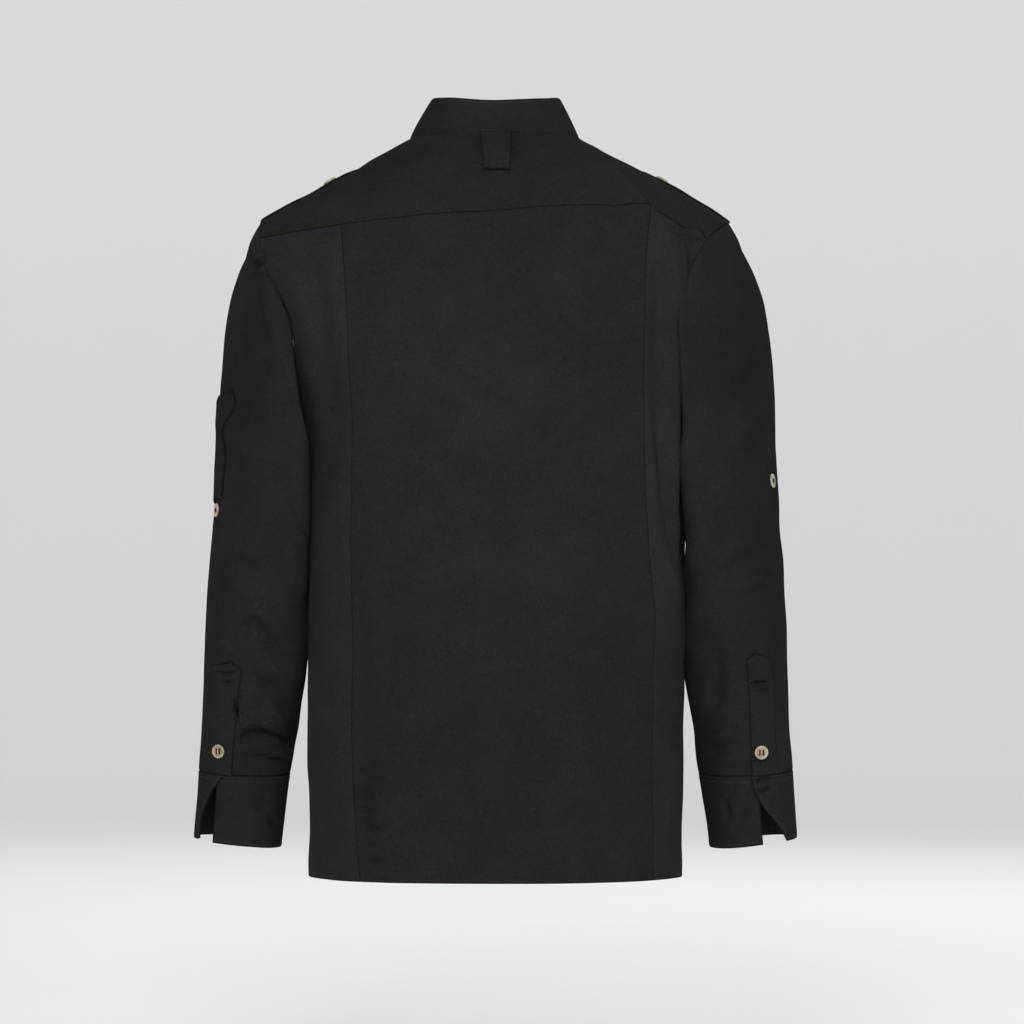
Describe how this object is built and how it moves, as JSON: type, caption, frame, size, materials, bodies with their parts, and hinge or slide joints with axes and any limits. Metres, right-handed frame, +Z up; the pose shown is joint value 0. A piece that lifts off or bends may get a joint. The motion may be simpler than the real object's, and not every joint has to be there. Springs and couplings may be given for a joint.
{
  "type": "chef jacket",
  "caption": "Long-sleeved black chef jacket, filled out as worn with no wearer: band collar, back yoke, dark blue side panels, buttoned front and open slit cuffs.",
  "frame": {"origin": "between the shoulders on the middle line, at the height of the collar seam's back, where the wearer's shoulders carry the jacket", "axes": "+Z up along the length of the jacket; the front, with the closing, faces -Y; +X is the wearer's left"},
  "size_m": [0.6269, 0.281, 0.7963],
  "materials": {
    "black_twill": "matte cotton twill",
    "blue_knit": "smooth stretch cloth",
    "horn": "satin"
  },
  "bodies": {
    "root": {"back_panel": "black_twill", "collar": "black_twill", "cuff_left": "black_twill", "cuff_right": "black_twill", "epaulette_button_left": "horn", "epaulette_button_right": "horn", "epaulette_left": "black_twill", "epaulette_right": "black_twill", "front_button_1": "horn", "front_button_2": "horn", "front_button_3": "horn", "front_button_4": "horn", "front_button_5": "horn", "front_button_6": "horn", "front_button_7": "horn", "front_button_8": "horn", "front_left": "black_twill", "front_right": "black_twill", "neck_loop": "black_twill", "placket_button_left": "horn", "placket_button_right": "horn", "placket_left": "black_twill", "placket_right": "black_twill", "roll_button_left": "horn", "roll_button_right": "horn", "side_panel_left": "blue_knit", "side_panel_right": "blue_knit", "sleeve_left": "black_twill", "sleeve_pocket": "black_twill", "sleeve_right": "black_twill", "yoke": "black_twill"}
  },
  "joints": []
}
